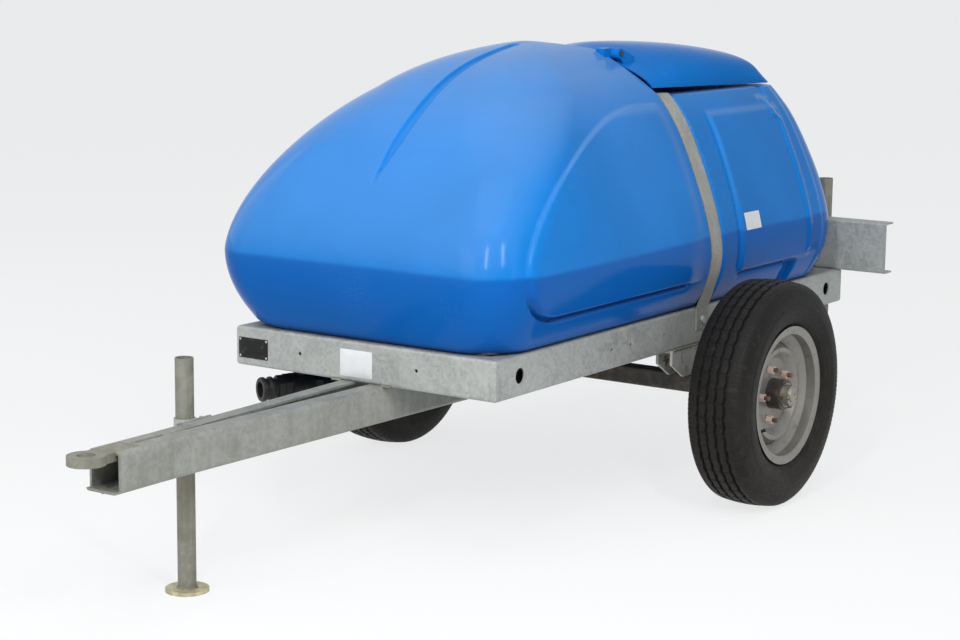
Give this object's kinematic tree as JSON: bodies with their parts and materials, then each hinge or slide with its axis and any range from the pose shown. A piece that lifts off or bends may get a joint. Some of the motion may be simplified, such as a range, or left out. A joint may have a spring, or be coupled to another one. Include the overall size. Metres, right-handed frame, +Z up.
{
  "type": "towed water bowser",
  "caption": "Two-wheel towed water bowser: moulded blue tank with hinged lid strapped to a galvanised frame with drawbar, ring eye, prop stands and an outlet valve.",
  "frame": {"origin": "on the ground, under the middle of the overall length and width", "axes": "+X forward to the tow eye, +Y to the left side, +Z up"},
  "size_m": [2.8782, 1.382, 1.1998],
  "materials": {
    "galvanised": "hot-dip galvanised steel, dull spangled grey with stains",
    "tank_plastic": "rotomoulded blue polyethylene, soft sheen",
    "black_plastic": "black moulded polypropylene",
    "tyre_rubber": "black tyre rubber, worn satin",
    "valve_rubber": "black rubber valve",
    "wheel_steel": "silver-grey painted pressed steel",
    "hub_iron": "black greasy cast hub",
    "bright_steel": "machined steel",
    "rusty_steel": "rusty steel studs",
    "nut_paint": "faded cream wheel nuts",
    "cap_steel": "dull pressed steel dust cap",
    "axle_paint": "black painted steel"
  },
  "bodies": {
    "chassis": {"front_crossmember": "galvanised", "rear_crossmember": "galvanised", "rail_left": "galvanised", "rail_right": "galvanised", "bearer_front": "galvanised", "bearer_rear": "galvanised", "drawbar_left": "galvanised", "drawbar_right": "galvanised", "tow_eye": "galvanised", "axle_beam": "axle_paint", "axle_bracket_left": "galvanised", "axle_bracket_right": "galvanised", "stub_axle_left": "bright_steel", "stub_axle_right": "bright_steel", "spindle_nut_left": "bright_steel", "spindle_nut_right": "bright_steel", "tank_shell": "tank_plastic", "tank_strap": "galvanised", "strap_bolts": "galvanised", "hinge_pins": "bright_steel", "outlet_pipe": "black_plastic", "valve_body": "black_plastic", "camlock_adaptor": "black_plastic", "rear_channel": "galvanised", "prop_bracket": "galvanised", "rear_sleeve_left": "galvanised", "rear_sleeve_right": "galvanised"},
    "wheel_left": {"tyre_left": "tyre_rubber", "rim_left": "wheel_steel", "hub_left": "hub_iron", "bearings_left": "bright_steel", "wheel_studs_left": "rusty_steel", "wheel_nuts_left": "nut_paint", "dust_cap_left": "cap_steel", "tyre_valve_left": "valve_rubber"},
    "wheel_right": {"tyre_right": "tyre_rubber", "rim_right": "wheel_steel", "hub_right": "hub_iron", "bearings_right": "bright_steel", "wheel_studs_right": "rusty_steel", "wheel_nuts_right": "nut_paint", "dust_cap_right": "cap_steel", "tyre_valve_right": "valve_rubber"},
    "lid": {"lid": "tank_plastic"},
    "filler_cap": {"filler_cap": "black_plastic"},
    "front_prop": {"front_prop_tube": "galvanised", "front_prop_foot": "galvanised"},
    "front_prop_clamp": {"front_prop_clamp": "galvanised"},
    "rear_prop_left": {"rear_prop_left": "galvanised", "rear_foot_left": "galvanised"},
    "rear_prop_right": {"rear_prop_right": "galvanised", "rear_foot_right": "galvanised"},
    "rear_clamp_left": {"rear_clamp_left": "galvanised"},
    "rear_clamp_right": {"rear_clamp_right": "galvanised"},
    "valve_lever": {"valve_lever": "black_plastic", "valve_ball": "bright_steel"}
  },
  "joints": [
    {"name": "wheel_left_spin", "type": "hinge", "parent": "chassis", "child": "wheel_left", "pos_m": [-0.48588, 0.62, 0.298], "axis": [0, 1, 0], "continuous": true},
    {"name": "wheel_right_spin", "type": "hinge", "parent": "chassis", "child": "wheel_right", "pos_m": [-0.48588, -0.62, 0.298], "axis": [0, 1, 0], "continuous": true},
    {"name": "lid_hinge", "type": "hinge", "parent": "chassis", "child": "lid", "pos_m": [-0.43107, 0, 1.168], "axis": [0, 1, 0], "range_deg": [0, 95]},
    {"name": "filler_cap_turn", "type": "hinge", "parent": "chassis", "child": "filler_cap", "pos_m": [-0.81588, 0, 1.105], "axis": [0, 0, 1], "range_deg": [0, 180]},
    {"name": "front_prop_slide", "type": "slide", "parent": "chassis", "child": "front_prop", "axis": [0, 0, 1], "range_m": [0, 0.28]},
    {"name": "front_prop_clamp_turn", "type": "hinge", "parent": "chassis", "child": "front_prop_clamp", "pos_m": [0.96313, -0.07838, 0.378], "axis": [1, 0, 0], "range_deg": [0, 180]},
    {"name": "rear_prop_left_slide", "type": "slide", "parent": "chassis", "child": "rear_prop_left", "axis": [0, 0, 1], "range_m": [-0.165, 0]},
    {"name": "rear_prop_right_slide", "type": "slide", "parent": "chassis", "child": "rear_prop_right", "axis": [0, 0, 1], "range_m": [-0.165, 0]},
    {"name": "rear_clamp_left_turn", "type": "hinge", "parent": "chassis", "child": "rear_clamp_left", "pos_m": [-1.39912, 0.275, 0.452], "axis": [0, 1, 0], "range_deg": [0, 180]},
    {"name": "rear_clamp_right_turn", "type": "hinge", "parent": "chassis", "child": "rear_clamp_right", "pos_m": [-1.39912, -0.275, 0.452], "axis": [0, 1, 0], "range_deg": [0, 180]},
    {"name": "valve_lever_turn", "type": "hinge", "parent": "chassis", "child": "valve_lever", "pos_m": [0.34896, -0.28394, 0.34], "axis": [0, 0, 1], "range_deg": [0, 90]}
  ]
}
